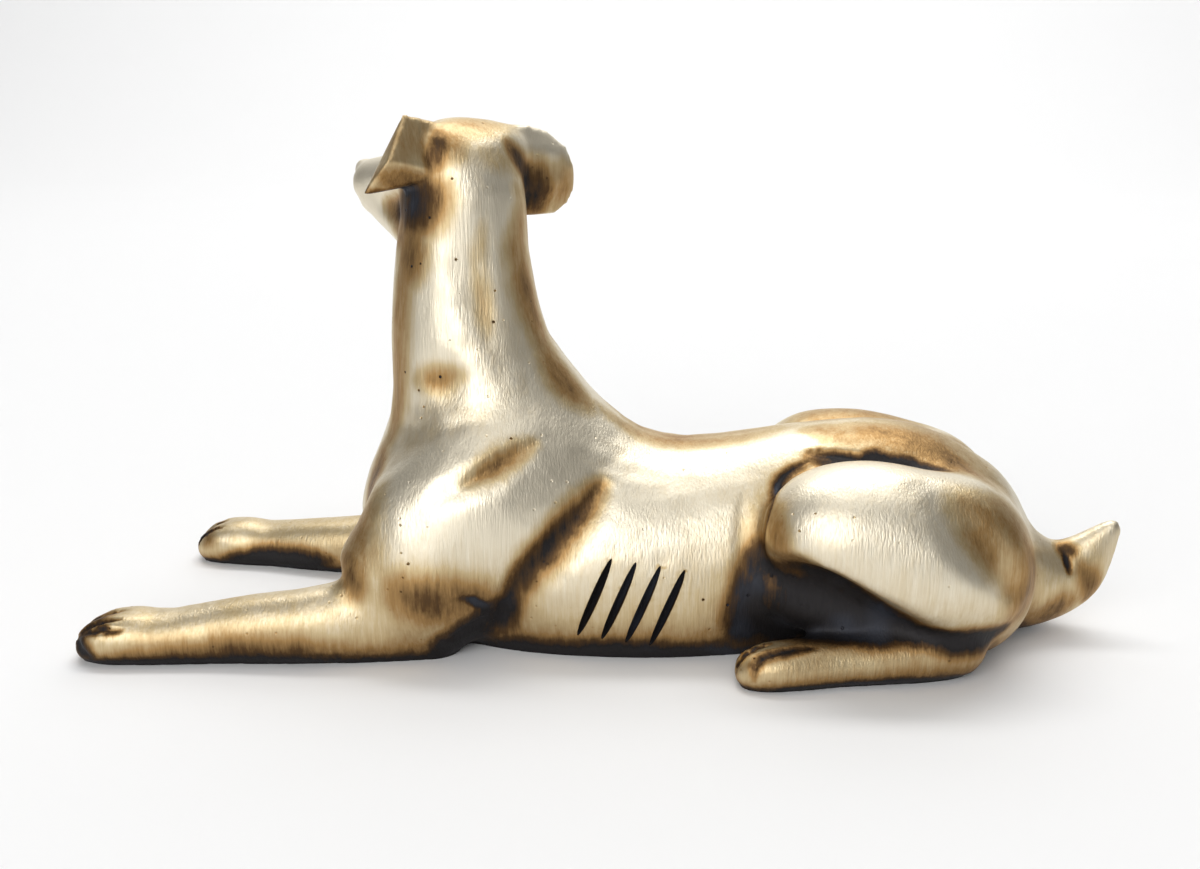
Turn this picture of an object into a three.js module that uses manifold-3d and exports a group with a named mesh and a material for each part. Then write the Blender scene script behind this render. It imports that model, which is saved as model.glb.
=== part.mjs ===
// A cast brass statue of a hound lying down with its forelegs stretched out
// and its head turned to look over its right shoulder.
//
// It is one casting, modelled as one solid. The head is toward -X, the tail
// toward +X, the hound's left side toward -Y and +Z is up. The underside of
// the belly, legs and feet lies on the plane z = 0.

import * as THREE from 'three';
import { ConvexGeometry } from 'three/addons/geometries/ConvexGeometry.js';
import { SimplifyModifier } from 'three/addons/modifiers/SimplifyModifier.js';
import { mergeVertices } from 'three/addons/utils/BufferGeometryUtils.js';
import Module from 'manifold-3d';

// Driving dimensions in millimetres.
const LENGTH = 300;
const SLIT_COUNT = 4;
const SLIT_LENGTH = 25.5;
const SLIT_WIDTH = 2.6;
const SLIT_DEPTH = 2.4;
const SLIT_PITCH = 6.8;
const SLIT_DROP = 1;
const SLIT_LEAN = 22;
const SLIT_PLACE_X = -0.4;
const SLIT_PLACE_Z = 19.5;

// The figure's pose and proportions are laid out on its own scale, on which
// it is about 300 units from toe to tail, and brought to its length at the end.
const FIGURE_UNITS = 300;

// Fineness of the clay's grid and number of triangles left on the skin.
const CELL = 1.7;
const SKIN_TRIANGLES = 8600;
const SETTLE_ROUNDS = 4;
const SETTLE_SHARE = 0.35;
const SHARPNESS = 0.22;
const PROBE = 0.3;

const BRASS = { color: 0xa98f5a, roughness: 0.36, metalness: 1 };

const LEFT = -1;
const RIGHT = 1;

// Smooth curve through rows of numbers, sampled evenly between the rows.
function smoothRows(rows, stepsPerSpan) {
  const samples = [];
  const last = rows.length - 1;
  for (let span = 0; span < last; span += 1) {
    const [r0, r1, r2, r3] = [-1, 0, 1, 2].map((k) => rows[Math.min(Math.max(span + k, 0), last)]);
    for (let step = 0; step < stepsPerSpan; step += 1) {
      const t = step / stepsPerSpan;
      samples.push(r1.map((value, column) => {
        const slopeIn = (r2[column] - r0[column]) / 2;
        const slopeOut = (r3[column] - r1[column]) / 2;
        const rise = r2[column] - value;
        return value + slopeIn * t + (3 * rise - 2 * slopeIn - slopeOut) * t * t
          + (slopeIn + slopeOut - 2 * rise) * t * t * t;
      }));
    }
  }
  samples.push(rows[last]);
  return samples;
}

// Distance to an ellipsoid from an offset already measured along its axes.
function roundDistance(a, b, c, ra, rb, rc) {
  const k0 = Math.hypot(a / ra, b / rb, c / rc);
  const k1 = Math.hypot(a / (ra * ra), b / (rb * rb), c / (rc * rc));
  return k1 < 1e-9 ? -Math.min(ra, rb, rc) : (k0 * (k0 - 1)) / k1;
}

// A form swept along a smooth spine. Each row is x, y, z of the spine and the
// half-size across and the half-size upright; "across" gives the direction
// that the first half-size is measured along.
function sweep(rows, { across = [0, 1, 0], steps = 4 } = {}) {
  const samples = smoothRows(rows, steps);
  const side = new THREE.Vector3(...across).normalize();
  const pieces = [];
  const box = new THREE.Box3();
  for (let k = 0; k < samples.length; k += 1) {
    const [x, y, z, halfAcross, halfUpright] = samples[k];
    const reach = Math.max(halfAcross, halfUpright);
    const centre = new THREE.Vector3(x, y, z);
    box.expandByPoint(centre.clone().addScalar(reach));
    box.expandByPoint(centre.clone().addScalar(-reach));
    if (k + 1 === samples.length) break;
    const next = samples[k + 1];
    const along = new THREE.Vector3(next[0] - x, next[1] - y, next[2] - z);
    const length = along.length();
    along.divideScalar(length);
    const u = side.clone().addScaledVector(along, -side.dot(along)).normalize();
    const v = new THREE.Vector3().crossVectors(along, u);
    pieces.push({ x, y, z, along, u, v, length, a0: halfAcross, a1: next[3], b0: halfUpright, b1: next[4] });
  }
  const distance = (x, y, z) => {
    let nearest = Infinity;
    for (const piece of pieces) {
      const { along, u, v } = piece;
      const dx = x - piece.x;
      const dy = y - piece.y;
      const dz = z - piece.z;
      const run = dx * along.x + dy * along.y + dz * along.z;
      const t = Math.min(Math.max(run / piece.length, 0), 1);
      const ra = piece.a0 + (piece.a1 - piece.a0) * t;
      const rb = piece.b0 + (piece.b1 - piece.b0) * t;
      const offset = run - t * piece.length;
      const d = roundDistance(
        dx * u.x + dy * u.y + dz * u.z,
        dx * v.x + dy * v.y + dz * v.z,
        offset, ra, rb, (ra + rb) / 2,
      );
      if (d < nearest) nearest = d;
    }
    return nearest;
  };
  return { box, distance };
}

// An ellipsoid, turned by the angles given in degrees about X, Y and Z.
function ball([cx, cy, cz], [rx, ry, rz], turn = [0, 0, 0]) {
  const euler = new THREE.Euler(...turn.map(THREE.MathUtils.degToRad));
  const axes = new THREE.Matrix4().makeRotationFromEuler(euler);
  const [a, b, c] = [new THREE.Vector3(), new THREE.Vector3(), new THREE.Vector3()];
  axes.extractBasis(a, b, c);
  const centre = new THREE.Vector3(cx, cy, cz);
  const reach = Math.max(rx, ry, rz);
  const box = new THREE.Box3().setFromCenterAndSize(centre, new THREE.Vector3(1, 1, 1).multiplyScalar(2 * reach));
  const distance = (x, y, z) => {
    const dx = x - cx;
    const dy = y - cy;
    const dz = z - cz;
    return roundDistance(
      dx * a.x + dy * a.y + dz * a.z,
      dx * b.x + dy * b.y + dz * b.z,
      dx * c.x + dy * c.y + dz * c.z,
      rx, ry, rz,
    );
  };
  return { box, distance };
}

// Clay is a list of forms that are pressed on or scooped out in turn, each
// with its own softness where it meets the rest.
class Clay {
  constructor() {
    this.steps = [];
    this.box = new THREE.Box3();
  }

  press(form, softness) {
    this.steps.push({ ...form, softness, sign: 1 });
    this.box.union(form.box);
  }

  scoop(form, softness) {
    this.steps.push({ ...form, softness, sign: -1 });
  }

  distance(x, y, z) {
    let result = 1e3;
    for (const { box, distance, softness, sign } of this.steps) {
      const margin = softness + 4 * CELL;
      const far = x < box.min.x - margin || x > box.max.x + margin
        || y < box.min.y - margin || y > box.max.y + margin
        || z < box.min.z - margin || z > box.max.z + margin;
      if (far) continue;
      const d = sign * distance(x, y, z);
      const overlap = Math.max(softness - Math.abs(result - d), 0);
      const fillet = (overlap * overlap) / (4 * softness);
      result = sign > 0 ? Math.min(result, d) - fillet : Math.max(result, d) + fillet;
    }
    return result;
  }
}

// Six tetrahedra fill a grid cell, each a walk from its low corner to its high
// corner along X, Y and Z in one of the six orders. Odd orders are mirrored.
const CELL_WALKS = [[1, 2, 4, 1], [2, 4, 1, 1], [4, 1, 2, 1], [1, 4, 2, -1], [4, 2, 1, -1], [2, 1, 4, -1]];

// Corner orders of a tetrahedron by how many of its corners are in the clay.
const ONE_INSIDE = [[0, 1, 2, 3], [1, 0, 3, 2], [2, 0, 1, 3], [3, 0, 2, 1]];
const TWO_INSIDE = [[0, 1, 2, 3], [0, 2, 3, 1], [0, 3, 1, 2], [1, 2, 0, 3], [1, 3, 2, 0], [2, 3, 0, 1]];

// Skin of the clay as a closed mesh, by marching through the tetrahedra.
function skinOf(clay) {
  const low = clay.box.min.clone().subScalar(3 * CELL);
  const size = clay.box.max.clone().addScalar(3 * CELL).sub(low);
  const [nx, ny, nz] = size.toArray().map((extent) => Math.ceil(extent / CELL) + 1);
  const field = new Float32Array(nx * ny * nz);
  for (let k = 0, n = 0; k < nz; k += 1) {
    for (let j = 0; j < ny; j += 1) {
      for (let i = 0; i < nx; i += 1, n += 1) {
        field[n] = clay.distance(low.x + i * CELL, low.y + j * CELL, low.z + k * CELL);
      }
    }
  }
  const cornerStep = [];
  for (let corner = 0; corner < 8; corner += 1) {
    cornerStep.push((corner & 1) + ((corner >> 1) & 1) * nx + ((corner >> 2) & 1) * nx * ny);
  }
  const positions = [];
  const triangles = [];
  const crossings = new Map();
  const place = (n) => [low.x + (n % nx) * CELL, low.y + (Math.floor(n / nx) % ny) * CELL,
    low.z + Math.floor(n / (nx * ny)) * CELL];
  const crossing = (p, q) => {
    const key = Math.min(p, q) * field.length + Math.max(p, q);
    if (!crossings.has(key)) {
      const t = field[p] / (field[p] - field[q]);
      const start = place(p);
      const end = place(q);
      crossings.set(key, positions.length / 3);
      positions.push(...start.map((value, axis) => value + (end[axis] - value) * t));
    }
    return crossings.get(key);
  };
  const cut = (corners) => {
    const inside = corners.map((n) => field[n] < 0);
    const count = inside.filter(Boolean).length;
    if (count === 1 || count === 3) {
      const order = ONE_INSIDE.find(([first]) => inside[first] === (count === 1));
      const [i, j, k, l] = order.map((index) => corners[index]);
      const tail = count === 1 ? [crossing(i, k), crossing(i, l)] : [crossing(i, l), crossing(i, k)];
      triangles.push(crossing(i, j), ...tail);
    } else if (count === 2) {
      const order = TWO_INSIDE.find(([first, second]) => inside[first] && inside[second]);
      const [i, j, k, l] = order.map((index) => corners[index]);
      const ring = [crossing(i, k), crossing(i, l), crossing(j, l), crossing(j, k)];
      triangles.push(ring[0], ring[1], ring[2], ring[0], ring[2], ring[3]);
    }
  };
  for (let k = 0; k < nz - 1; k += 1) {
    for (let j = 0; j < ny - 1; j += 1) {
      for (let i = 0; i < nx - 1; i += 1) {
        const n = i + nx * (j + ny * k);
        let insideCount = 0;
        for (const step of cornerStep) insideCount += field[n + step] < 0 ? 1 : 0;
        if (insideCount === 0 || insideCount === 8) continue;
        for (const [first, second, , parity] of CELL_WALKS) {
          const walk = [n, n + cornerStep[first], n + cornerStep[first | second], n + cornerStep[7]];
          cut(parity > 0 ? walk : [walk[0], walk[2], walk[1], walk[3]]);
        }
      }
    }
  }
  const geometry = new THREE.BufferGeometry();
  geometry.setAttribute('position', new THREE.Float32BufferAttribute(positions, 3));
  geometry.setIndex(triangles);
  return geometry;
}

// Direction and rate in which the clay's distance grows at a place.
function slopeAt(clay, { x, y, z }, slope) {
  return slope.set(
    clay.distance(x + PROBE, y, z) - clay.distance(x - PROBE, y, z),
    clay.distance(x, y + PROBE, z) - clay.distance(x, y - PROBE, z),
    clay.distance(x, y, z + PROBE) - clay.distance(x, y, z - PROBE),
  ).divideScalar(2 * PROBE);
}

// Evens out the triangles left after the skin is thinned, and lays every
// corner back on the clay.
function settle(geometry, clay) {
  const { position } = geometry.attributes;
  const neighbours = Array.from({ length: position.count }, () => new Set());
  const corners = geometry.index.array;
  for (let n = 0; n < corners.length; n += 3) {
    for (let k = 0; k < 3; k += 1) {
      neighbours[corners[n + k]].add(corners[n + ((k + 1) % 3)]);
      neighbours[corners[n + ((k + 1) % 3)]].add(corners[n + k]);
    }
  }
  const place = new THREE.Vector3();
  const middle = new THREE.Vector3();
  const slope = new THREE.Vector3();
  const reach = neighbours.map((others, n) => {
    middle.fromBufferAttribute(position, n);
    const spans = [...others].map((other) => place.fromBufferAttribute(position, other).distanceTo(middle));
    return spans.reduce((sum, span) => sum + span, 0) / spans.length;
  });
  for (let round = 0; round < SETTLE_ROUNDS; round += 1) {
    for (let n = 0; n < position.count; n += 1) {
      middle.set(0, 0, 0);
      for (const other of neighbours[n]) middle.add(place.fromBufferAttribute(position, other));
      middle.divideScalar(neighbours[n].size);
      place.fromBufferAttribute(position, n);
      slopeAt(clay, place, slope).normalize();
      middle.sub(place);
      const onSharpEdge = Math.abs(middle.dot(slope)) > SHARPNESS * reach[n];
      if (onSharpEdge) continue;
      place.addScaledVector(middle, SETTLE_SHARE);
      for (let step = 0; step < 2; step += 1) {
        slopeAt(clay, place, slope);
        const depth = clay.distance(place.x, place.y, place.z);
        place.addScaledVector(slope, -depth / Math.max(slope.lengthSq(), 0.25));
      }
      position.setXYZ(n, place.x, place.y, place.z);
    }
  }
}

// Trunk from the chest to the rump.
function pressTrunk(clay) {
  clay.press(sweep([
    [-46, 0, 32, 26, 30],
    [-34, 0, 28, 30, 38],
    [-18, 0, 21, 34, 42.5],
    [0, 0, 19, 35.5, 40.6],
    [20, 0, 18.5, 34, 37.8],
    [42, 0, 22, 31, 36.2],
    [62, 0, 25.5, 28, 36.4],
    [82, 0, 26, 28, 37.2],
    [97, 0, 26, 25, 30],
  ]), 6);
  clay.press(ball([-49.3, 0, 36], [18, 22, 24]), 10);
}

// Neck rising from the shoulders to the back of the skull.
function pressNeck(clay) {
  clay.press(sweep([
    [-28, 0, 42, 28, 37],
    [-34, 0, 60, 25, 30],
    [-38.9, 0, 77, 21.5, 24.3],
    [-41.1, 0, 93, 18.5, 21.6],
    [-41.6, 1, 110, 17, 19.2],
    [-41, 2, 123, 16.3, 17.8],
  ], { steps: 5 }), 10);
}

// Directions of the turned head: straight ahead and to its left.
const HEAD_YAW = THREE.MathUtils.degToRad(47);
const AHEAD = new THREE.Vector3(-Math.cos(HEAD_YAW), Math.sin(HEAD_YAW), 0);
const TO_LEFT = new THREE.Vector3(-Math.sin(HEAD_YAW), -Math.cos(HEAD_YAW), 0);
const SKULL = new THREE.Vector3(-40, 3, 134);

// A place on the head: ahead, to its left and up from the skull's middle.
function headPlace([ahead, toLeft, up]) {
  return SKULL.clone().addScaledVector(AHEAD, ahead).addScaledVector(TO_LEFT, toLeft).setZ(SKULL.z + up).toArray();
}

// A form swept along a spine whose places are given on the head.
function headSweep(rows) {
  return sweep(rows.map(([ahead, toLeft, up, ...sizes]) => [...headPlace([ahead, toLeft, up]), ...sizes]), {
    across: TO_LEFT.toArray(),
  });
}

function pressHead(clay) {
  clay.press(headSweep([
    [2, 0, -0.3, 14.8, 12.2],
    [10, 0, 0.3, 15.2, 12.3],
    [18, 0, -1, 13, 12],
    [30, 0, -4.5, 9.5, 9],
    [44, 0, -6, 8.3, 8],
    [54, 0, -7, 8, 7.5],
  ]), 8);
  clay.press(headSweep([
    [4, 0, -18, 12, 12],
    [18, 0, -20.5, 10.5, 10.2],
    [32, 0, -18, 8, 7.6],
    [44, 0, -14.6, 7, 6.4],
    [52, 0, -12.4, 6, 5.2],
  ]), 5);
  const crownRidge = [[-1, -18, 5, 4], [-1, -11, 6, 5.5], [0, 0, 6.3, 6], [0, 8, 6.3, 5.5], [0, 13, 5.5, 4]];
  const ridgeRows = crownRidge.map(([ahead, toLeft, up, half]) => [...headPlace([ahead, toLeft, up]), half, half]);
  clay.press(sweep(ridgeRows, { across: AHEAD.toArray() }), 9);
  clay.press(ball(headPlace([61, 0, -3.5]), [4, 4, 3.5]), 2);
  for (const side of [LEFT, RIGHT]) {
    clay.scoop(headSweep([
      [16, side * 13.5, 5, 2, 2],
      [21, side * 12, 4, 3.2, 2.8],
      [26, side * 10.5, 1.5, 2, 2],
    ]), 3);
    clay.press(ball(headPlace([20.5, side * 10, 3.8]), [2.6, 2.6, 2.4]), 0.8);
    clay.scoop(headSweep([
      [61, side * 4, -12.5, 0.8, 0.8],
      [51, side * 8.6, -12, 1, 1],
      [38, side * 10, -11, 0.9, 0.9],
      [31, side * 10.5, -9, 0.5, 0.5],
    ]), 1.2);
  }
}

// Ears that stand out sideways and fold down, thick and blunt. Each is the
// form stretched over its corners, given on the head like any other place.
const LEFT_EAR = [
  [-1.5, 6, 12.4], [-1.5, 20.6, 15.2], [-6, 28.2, 3.4], [-6.5, 9, -1], [0, 33, -5.8],
  [5, 6, 11.5], [3, 18, 13.6], [4.5, 30, -5], [6, 8, -4],
];
const RIGHT_EAR = [
  [-2.5, -6, 12.6], [-3, -18.5, 12], [-3, -26, 10], [-4, -32.5, 5], [-5.6, -8, 6], [-6, -26, 4.5],
  [-5.4, -33, 0], [-4.4, -35.2, -2], [-4, -35.2, -7], [-6, -10, -5], [-6.2, -27, -6], [-2.4, -33, -12.2],
  [-2, -29, -14.6], [-2.5, -10, -14.5],
  [3, -6, 11.5], [3, -26, 8], [3, -31, 2], [3, -32.4, -6], [2.5, -28, -13.4], [2.5, -10, -13.5],
];

function earOver(corners) {
  return new ConvexGeometry(corners.map((corner) => new THREE.Vector3(...headPlace(corner))));
}

// Forelegs. The right one lies nearer to the middle, lower and a little shorter.
function pressForeleg(clay, side) {
  const spread = side === LEFT ? 42 : 33;
  const toe = side === LEFT ? -140.5 : -136.5;
  const height = side === LEFT ? 1 : 0.92;
  clay.press(sweep([
    [-48, side * 31, 10 * height, 9.5, 13.4 * height],
    [-62, side * 33, 10 * height, 10, 13.8 * height],
    [-80, side * (spread - 5), 9 * height, 9.4, 11.4 * height],
    [-101, side * (spread - 3.5), 7.5 * height, 8.8, 9.9 * height],
    [toe + 19, side * (spread - 1), 5.8, 8.6, 7.9],
    [toe + 11, side * (spread - 0.5), 6, 9, 8.4],
    [toe + 4, side * spread, 6, 9.2, 8],
    [toe, side * (spread + 0.5), 5, 8.2, 6.8],
  ]), 4);
  for (const cleft of [-4.4, 0.2, 4.6]) {
    const across = side * spread - cleft;
    clay.scoop(sweep([
      [toe + 10, across, 15, 0.7, 0.7],
      [toe + 2, across, 13.6, 1.5, 1.5],
      [toe - 4.5, across, 10.6, 1.6, 1.6],
      [toe - 8, across, 5, 1.5, 1.5],
      [toe - 8, across, 0, 1.3, 1.3],
    ]), 1.5);
  }
}

function pressShoulder(clay, side) {
  clay.press(sweep([
    [-22, side * 19, 53, 9, 11],
    [-34, side * 26, 44, 13, 18],
    [-46, side * 28.5, 32, 14.5, 22],
  ]), 14);
  clay.press(sweep([
    [-61, side * 29, 24, 13, 14],
    [-48, side * 32, 20, 12.5, 15],
    [-41, side * 29.3, 15, 10, 13],
  ]), 6);
  clay.scoop(sweep([
    [-26, side * 34, 11, 1.5, 1.5],
    [-21, side * 38.5, 20, 3, 3],
    [-13, side * 38, 30, 4, 4],
    [-4, side * 34, 42, 4.2, 4.2],
    [2, side * 27.5, 50, 2.5, 2.5],
  ]), 5);
  clay.scoop(sweep([
    [-41, side * 40, 51, 1.5, 1.5],
    [-34, side * 39, 54, 2.4, 2.4],
    [-26, side * 36, 57.5, 2.8, 2.8],
    [-17, side * 31, 61.5, 1.5, 1.5],
  ]), 4);
  clay.scoop(sweep([
    [-44, side * 47.5, 21, 1.5, 1.5],
    [-37, side * 46, 19.5, 2.2, 2.2],
    [-31, side * 43, 20, 2.5, 2.5],
  ]), 3);
  clay.scoop(ball([-29.5, side * 42.5, 7], [6, 8, 12], [0, 20, 0]), 4);
  clay.scoop(ball([-74.5, side * 32, 22], [4, 6, 4], [0, 0, 0]), 4);
}

// Folds of the neck: a hollow down each side behind the windpipe.
function scoopNeck(clay) {
  for (const side of [LEFT, RIGHT]) {
    clay.scoop(sweep([
      [-37, side * 20, 119, 2, 2],
      [-36, side * 21.5, 108, 4, 4],
      [-32, side * 22.5, 97, 4, 4],
      [-25, side * 24, 84, 2, 2],
    ]), 7);
    clay.scoop(ball([-45, side * 26, 78], [6, 5, 5]), 7);
  }
}

function pressHindLeg(clay, side) {
  clay.press(ball([82, side * 30, 35], [35, 18, 23], [side * 14, 17, 0]), 2);
  clay.press(ball([66, side * 32, 39], [20, 15, 17], [side * 14, 10, 0]), 5);
  clay.press(ball([102, side * 19, 23], [20.5, 17, 23]), 8);
  clay.press(ball([99, side * 22, 33], [17, 15, 20]), 9);
  clay.scoop(sweep([
    [55, side * 17, 61, 2.5, 2.5],
    [66, side * 17.5, 63.5, 4, 4],
    [78, side * 17, 62.5, 3.5, 3.5],
    [90, side * 16, 58.5, 1.5, 1.5],
  ]), 2);
  clay.scoop(sweep([
    [90, side * 40, 58, 3, 3],
    [99, side * 44.5, 49, 6, 6],
    [107, side * 43, 38, 4, 4],
    [112, side * 40, 28, 2, 2],
  ]), 8);
  clay.scoop(sweep([
    [42, side * 42, 24, 9, 13],
    [56, side * 45.5, 22, 11, 14],
    [70, side * 48, 17.5, 12, 12],
    [86, side * 50, 12, 12, 9.5],
    [101, side * 49, 8, 8, 6.5],
  ]), 3);
  clay.press(sweep([
    [50, side * 26, 22, 8, 9],
    [70, side * 29, 15, 8, 8.5],
    [94, side * 31, 10, 8, 9],
  ]), 2);
  clay.press(sweep([
    [98, side * 31.5, 10, 9.5, 11],
    [88, side * 34, 7, 9, 8.6],
    [66, side * 38.6, 5.5, 8, 7],
    [51, side * 42.3, 5, 7.8, 6.8],
    [45, side * 43, 4.5, 7, 6.3],
  ]), 2);
  for (const cleft of [-4.2, 0, 4.2]) {
    const across = side * 43 - cleft;
    clay.scoop(sweep([
      [55.5, across - side * 2, 12.8, 0.7, 0.7],
      [47.5, across - side, 12.2, 1.4, 1.4],
      [40.7, across, 9.5, 1.5, 1.5],
      [37.5, across + side, 4.5, 1.4, 1.4],
      [37.2, across + side, 0, 1.2, 1.2],
    ]), 1.5);
  }
}

function pressTail(clay) {
  clay.press(sweep([
    [106, 0, 20, 19, 21],
    [120, 0, 16, 14, 16.3],
    [131, 0, 15, 8.6, 12.2],
    [138.6, 0, 19, 6, 10],
    [144.4, 0, 26.4, 4, 6],
    [148.5, 0, 32.5, 2.2, 2.8],
  ]), 5);
}

function hound() {
  const clay = new Clay();
  pressTrunk(clay);
  pressNeck(clay);
  pressHead(clay);
  for (const side of [LEFT, RIGHT]) {
    pressShoulder(clay, side);
    pressForeleg(clay, side);
    pressHindLeg(clay, side);
  }
  pressTail(clay);
  scoopNeck(clay);
  return clay;
}

const wasm = await Module();
wasm.setup();

// The same geometry with corners that its faces share.
function welded(geometry) {
  const bare = geometry.clone();
  bare.deleteAttribute('normal');
  bare.deleteAttribute('uv');
  return mergeVertices(bare);
}

// A closed geometry whose faces share their corners, as a solid that can be
// joined and cut.
function solidOf(geometry) {
  return new wasm.Manifold(new wasm.Mesh({
    numProp: 3,
    vertProperties: new Float32Array(geometry.attributes.position.array),
    triVerts: new Uint32Array(geometry.index.array),
  }));
}

function geometryOf(solid) {
  const mesh = solid.getMesh();
  const geometry = new THREE.BufferGeometry();
  geometry.setAttribute('position', new THREE.BufferAttribute(mesh.vertProperties, 3));
  geometry.setIndex(new THREE.BufferAttribute(mesh.triVerts, 1));
  return geometry;
}

// Block under the plane z = 0 that flattens the underside.
function groundBlock() {
  const block = new THREE.BoxGeometry(2 * LENGTH, LENGTH, LENGTH);
  return block.translate(0, 0, -LENGTH / 2);
}

// Where the clay's side lies outward of a place in the upright plane of the
// figure's length, in figure units.
function sideOf(clay, side, x, z) {
  let inner = 0;
  let outer = FIGURE_UNITS / 4;
  for (let halving = 0; halving < 30; halving += 1) {
    const middle = (inner + outer) / 2;
    if (clay.distance(x, side * middle, z) < 0) inner = middle;
    else outer = middle;
  }
  return side * inner;
}

// Cutter for one filed slit between the ribs: a long blade of V section that
// follows the flank and runs out to nothing at both ends.
function slitBlade(clay, scale, side, number) {
  const lean = THREE.MathUtils.degToRad(SLIT_LEAN);
  const middleX = SLIT_PLACE_X * scale + number * SLIT_PITCH;
  const middleZ = SLIT_PLACE_Z * scale - number * SLIT_DROP;
  const stations = 10;
  const rise = 1;
  const positions = [];
  for (let station = 0; station <= stations; station += 1) {
    const share = (2 * station) / stations - 1;
    const fullness = Math.sqrt(1 - share * share * 0.998);
    const along = (share * SLIT_LENGTH) / 2;
    const x = middleX + along * Math.sin(lean);
    const z = middleZ + along * Math.cos(lean);
    const y = sideOf(clay, side, x / scale, z / scale) * scale;
    const depth = SLIT_DEPTH * fullness;
    const spread = (SLIT_WIDTH / 2) * fullness * (1 + rise / depth);
    const step = new THREE.Vector2(Math.cos(lean), -Math.sin(lean)).multiplyScalar(spread);
    positions.push(x - step.x, y + side * rise, z - step.y);
    positions.push(x + step.x, y + side * rise, z + step.y);
    positions.push(x, y - side * depth, z);
  }
  const triangles = [];
  for (let n = 0; n < stations * 3; n += 3) {
    for (let corner = 0; corner < 3; corner += 1) {
      const next = (corner + 1) % 3;
      triangles.push(n + corner, n + next, n + 3 + corner, n + next, n + 3 + next, n + 3 + corner);
    }
  }
  const end = stations * 3;
  triangles.push(0, 2, 1, end, end + 1, end + 2);
  if (side === RIGHT) triangles.reverse();
  const blade = new THREE.BufferGeometry();
  blade.setAttribute('position', new THREE.Float32BufferAttribute(positions, 3));
  blade.setIndex(triangles);
  return blade;
}

const clay = hound();
const fineSkin = skinOf(clay);
const spare = fineSkin.attributes.position.count - SKIN_TRIANGLES / 2;
const skin = await new SimplifyModifier().modify(fineSkin, spare);
settle(skin, clay);
skin.computeBoundingBox();
const scale = LENGTH / (skin.boundingBox.max.x - skin.boundingBox.min.x);
skin.scale(scale, scale, scale);
let body = solidOf(skin).subtract(solidOf(welded(groundBlock())));
for (const corners of [LEFT_EAR, RIGHT_EAR]) {
  body = body.add(solidOf(welded(earOver(corners).scale(scale, scale, scale))));
}
for (const side of [LEFT, RIGHT]) {
  for (let number = 0; number < SLIT_COUNT; number += 1) {
    body = body.subtract(solidOf(slitBlade(clay, scale, side, number)));
  }
}
const geometry = geometryOf(body);

const dog = new THREE.Mesh(geometry, new THREE.MeshStandardMaterial(BRASS));
dog.name = 'dog';

// The origin is the middle of the underside.
geometry.computeBoundingBox();
const middle = geometry.boundingBox.getCenter(new THREE.Vector3());
dog.position.set(-middle.x, -middle.y, 0);

const statue = new THREE.Group();
statue.add(dog);

export default statue;
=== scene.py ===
"""A cast brass statue of a lying hound, finished by hand from its cast solid."""

import math

import bmesh
import bpy
import numpy as np
from mathutils import Matrix, Vector
from mathutils.bvhtree import BVHTree


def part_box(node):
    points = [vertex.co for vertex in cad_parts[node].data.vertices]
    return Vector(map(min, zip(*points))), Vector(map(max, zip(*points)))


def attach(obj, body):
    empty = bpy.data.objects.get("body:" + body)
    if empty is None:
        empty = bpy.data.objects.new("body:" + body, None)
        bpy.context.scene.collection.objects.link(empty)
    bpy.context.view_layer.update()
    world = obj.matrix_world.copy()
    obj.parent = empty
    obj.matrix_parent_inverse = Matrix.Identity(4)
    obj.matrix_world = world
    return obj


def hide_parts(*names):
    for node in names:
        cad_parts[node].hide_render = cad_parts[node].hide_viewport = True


bl_info = {
    "name": "Brass Hound Finishing",
    "version": (1, 0, 0),
    "blender": (4, 5, 0),
    "location": "3D View > Sidebar > Brass Hound",
    "description": "Evens, carves and patinates a cast brass hound and sets it on a pale stage",
    "category": "Mesh",
}

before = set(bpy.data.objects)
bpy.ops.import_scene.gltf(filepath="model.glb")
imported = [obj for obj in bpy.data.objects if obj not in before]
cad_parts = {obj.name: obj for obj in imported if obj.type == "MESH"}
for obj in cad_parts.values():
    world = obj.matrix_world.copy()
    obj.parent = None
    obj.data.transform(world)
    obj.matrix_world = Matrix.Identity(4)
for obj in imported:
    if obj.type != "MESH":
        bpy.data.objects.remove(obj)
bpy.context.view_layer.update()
CAST_LOW, CAST_HIGH = (Vector(corner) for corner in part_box("dog"))
MM = 0.001

# The hound is laid out in units of its own drawing, whose origin lies beside
# the middle of the finished statue.
DRAWING_LENGTH = 298.57
DRAWING_MIDDLE = (1.86, 0.183)
UNIT = (CAST_HIGH.x - CAST_LOW.x) / DRAWING_LENGTH

# Points lower than this lie on the ground.
GROUND_GAP = 0.02 * MM

# Points further than this from the middle plane are on the flanks.
FLANK_FROM = 10 * MM

# What one step of the work leaves ready for a later one.
BENCH = {}


def spot(x, y, z):
    """A place of the drawing, in metres on the statue."""
    return Vector(((x - DRAWING_MIDDLE[0]) * UNIT, (y - DRAWING_MIDDLE[1]) * UNIT, z * UNIT))


# The turned head: its middle and its directions ahead and to its left.
HEAD_YAW = math.radians(47)
SKULL = Vector((-40, 3, 134))
AHEAD = Vector((-math.cos(HEAD_YAW), math.sin(HEAD_YAW), 0))
TO_LEFT = Vector((-math.sin(HEAD_YAW), -math.cos(HEAD_YAW), 0))


def head_spot(ahead, to_left, up):
    """A place on the head, in drawing units."""
    place = SKULL + AHEAD * ahead + TO_LEFT * to_left
    return (place.x, place.y, place.z + up)


def deselect_all():
    bpy.ops.object.select_all(action="DESELECT")


def take_up(piece):
    """Selects one piece alone and makes it active."""
    deselect_all()
    piece.select_set(True)
    bpy.context.view_layer.objects.active = piece


def apply_modifier(piece, kind, **settings):
    take_up(piece)
    modifier = piece.modifiers.new(kind.title(), kind)
    for key, value in settings.items():
        setattr(modifier, key, value)
    bpy.ops.object.modifier_apply(modifier=modifier.name)


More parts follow.
